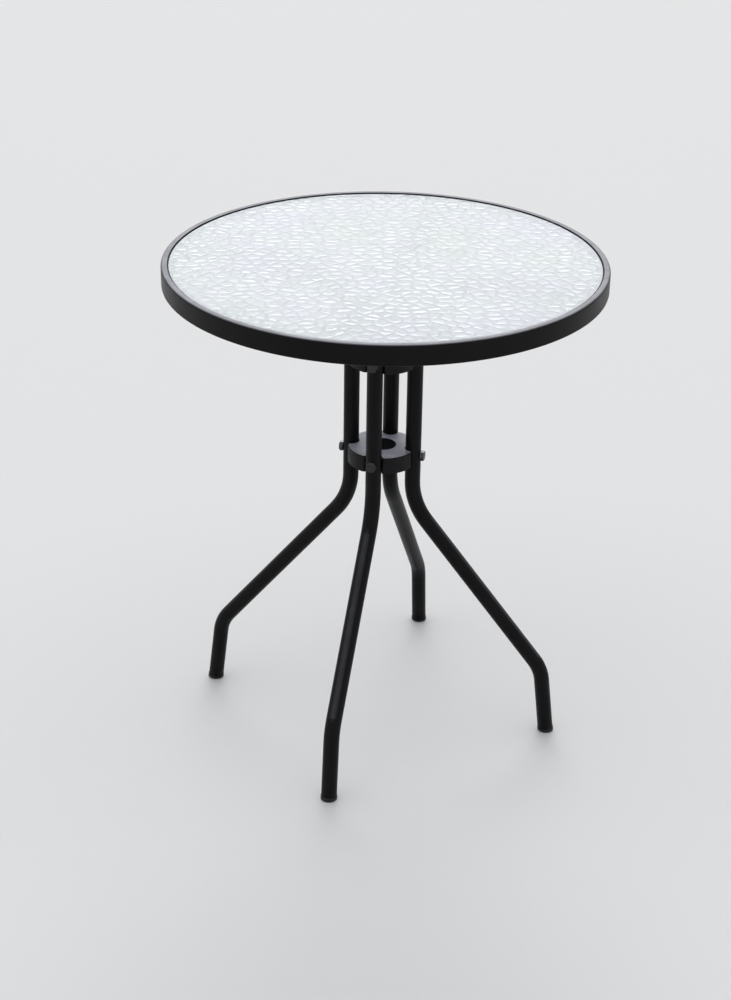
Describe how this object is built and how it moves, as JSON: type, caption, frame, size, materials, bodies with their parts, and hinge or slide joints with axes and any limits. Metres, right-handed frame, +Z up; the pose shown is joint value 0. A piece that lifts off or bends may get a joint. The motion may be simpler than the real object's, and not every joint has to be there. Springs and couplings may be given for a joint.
{
  "type": "garden table",
  "caption": "Small round garden table: a rippled glass pane in a black steel rim on splayed bent-tube legs, bolted to two moulded hubs.",
  "frame": {"origin": "on the floor, below the middle of the table top", "axes": "+Z up along the table's middle axis, +X towards the right leg, +Y towards the back leg"},
  "size_m": [0.6, 0.6, 0.7],
  "materials": {
    "powder_coat": "satin black powder coat with a fine orange-peel texture",
    "rippled_glass": "tempered glass, rippled on top, slightly milky",
    "gasket_rubber": "black soft strip",
    "foot_plastic": "black moulded plastic, lightly scuffed",
    "hub_plastic": "grey-black moulded plastic, fine grain",
    "bolt_steel": "dark plated steel",
    "nut_steel": "bright zinc",
    "clear_pad": "clear soft plastic"
  },
  "bodies": {
    "frame": {"rim": "powder_coat", "glass_gasket": "gasket_rubber", "leg_right": "powder_coat", "leg_back": "powder_coat", "leg_left": "powder_coat", "leg_front": "powder_coat", "foot_cap_right": "foot_plastic", "foot_cap_back": "foot_plastic", "foot_cap_left": "foot_plastic", "foot_cap_front": "foot_plastic", "hub_lower": "hub_plastic", "hub_upper": "hub_plastic", "hub_bolts_lower": "bolt_steel", "hub_bolts_upper": "bolt_steel", "hub_nuts_lower": "nut_steel", "hub_nuts_upper": "nut_steel", "rim_bracket_right": "powder_coat", "rim_bracket_back": "powder_coat", "rim_bracket_left": "powder_coat", "rim_bracket_front": "powder_coat", "arm_bolts": "bolt_steel", "arm_washers": "bolt_steel", "bracket_nuts": "nut_steel", "suction_pad_right": "clear_pad", "suction_pad_back": "clear_pad", "suction_pad_left": "clear_pad", "suction_pad_front": "clear_pad"},
    "pane": {"glass_top": "rippled_glass"}
  },
  "joints": [
    {"name": "glass_lift", "type": "slide", "parent": "frame", "child": "pane", "axis": [0, 0, 1], "range_m": [0, 0.05]}
  ]
}
